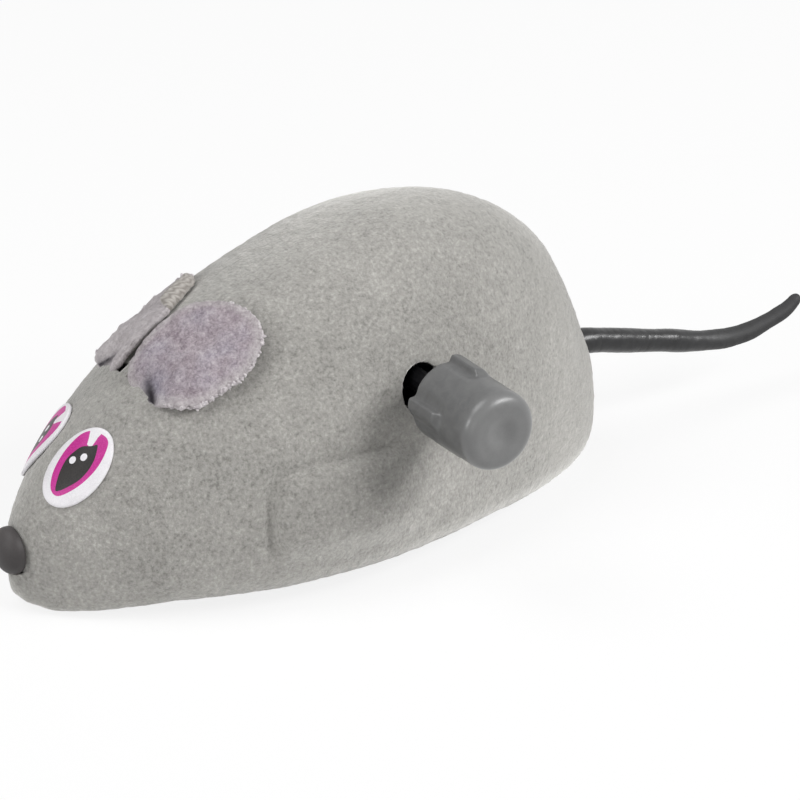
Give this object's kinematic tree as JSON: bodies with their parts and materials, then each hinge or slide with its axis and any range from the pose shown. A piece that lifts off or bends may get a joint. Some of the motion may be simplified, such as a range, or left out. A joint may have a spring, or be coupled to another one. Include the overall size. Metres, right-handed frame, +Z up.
{
  "type": "wind-up mouse cat toy",
  "caption": "Grey flocked wind-up toy mouse with fabric ears, printed eyes and a rubber tail; a side knob winds a clockwork that drives its hidden wheels.",
  "frame": {"origin": "on the underside of the base plate, at the midplane, halfway along the body", "axes": "+X towards the nose, +Y towards the mouse's left, where the knob is, +Z up"},
  "size_m": [0.1036, 0.0477, 0.0348],
  "materials": {
    "flock": "moulded shell with velvety grey flock all over",
    "ear_fabric": "lilac-grey brushed pile",
    "eye_print": "printed stick-on eye, white with a magenta ring and a dark pupil",
    "nose_plastic": "satin black moulding",
    "tail_rubber": "glossy black, scaly",
    "knob_plastic": "satin mid grey",
    "base_plastic": "dark grey moulding",
    "steel": "plain stamped and turned steel",
    "spring_steel": "blued spring strip",
    "gear_plastic": "natural moulded gear plastic",
    "tyre_rubber": "matte black"
  },
  "bodies": {
    "chassis": {"body_shell": "flock", "base_plate": "base_plastic", "nose": "nose_plastic", "tail": "tail_rubber", "ear_left": "ear_fabric", "ear_right": "ear_fabric", "eye_left": "eye_print", "eye_right": "eye_print", "motor_plate_left": "steel", "motor_plate_right": "steel", "base_screw_front": "steel", "base_screw_rear": "steel", "motor_screw_front": "steel", "motor_screw_rear": "steel", "pillar_front": "steel", "pillar_rear": "steel", "foot_bar_front": "steel", "foot_bar_rear": "steel", "mainspring": "spring_steel", "front_axle": "steel"},
    "winder": {"winding_knob": "knob_plastic", "winding_arbor": "steel", "ratchet_wheel": "steel"},
    "great": {"great_wheel": "gear_plastic", "click": "spring_steel"},
    "second": {"second_arbor": "steel", "second_pinion": "gear_plastic", "second_gear": "gear_plastic"},
    "drive": {"drive_axle": "steel", "axle_pinion": "gear_plastic", "wheel_left": "base_plastic", "wheel_right": "base_plastic", "tyre_left": "tyre_rubber", "tyre_right": "tyre_rubber"},
    "roller": {"front_roller": "base_plastic"}
  },
  "joints": [
    {"name": "knob_wind", "type": "hinge", "parent": "chassis", "child": "winder", "pos_m": [-0.0046, 0, 0.0193], "axis": [0, -1, 0], "range_deg": [0, 1845], "stiffness_Nm_per_rad": 0.0003, "deforming": ["mainspring"]},
    {"name": "axle_spin", "type": "hinge", "parent": "chassis", "child": "drive", "pos_m": [-0.01, 0, 0.0054], "axis": [0, 1, 0], "continuous": true},
    {"name": "second_spin", "type": "hinge", "parent": "chassis", "child": "second", "pos_m": [-0.01465, 0, 0.01425], "axis": [0, 1, 0], "continuous": true},
    {"name": "great_spin", "type": "hinge", "parent": "chassis", "child": "great", "pos_m": [-0.0046, 0, 0.0193], "axis": [0, 1, 0], "continuous": true},
    {"name": "front_roller_spin", "type": "hinge", "parent": "chassis", "child": "roller", "pos_m": [0.0186, 0, 0.0026], "axis": [0, 1, 0], "continuous": true}
  ],
  "couplings": [
    {"joint": "second_spin", "follows": "axle_spin", "ratio": -0.25},
    {"joint": "great_spin", "follows": "axle_spin", "ratio": 0.0625}
  ]
}
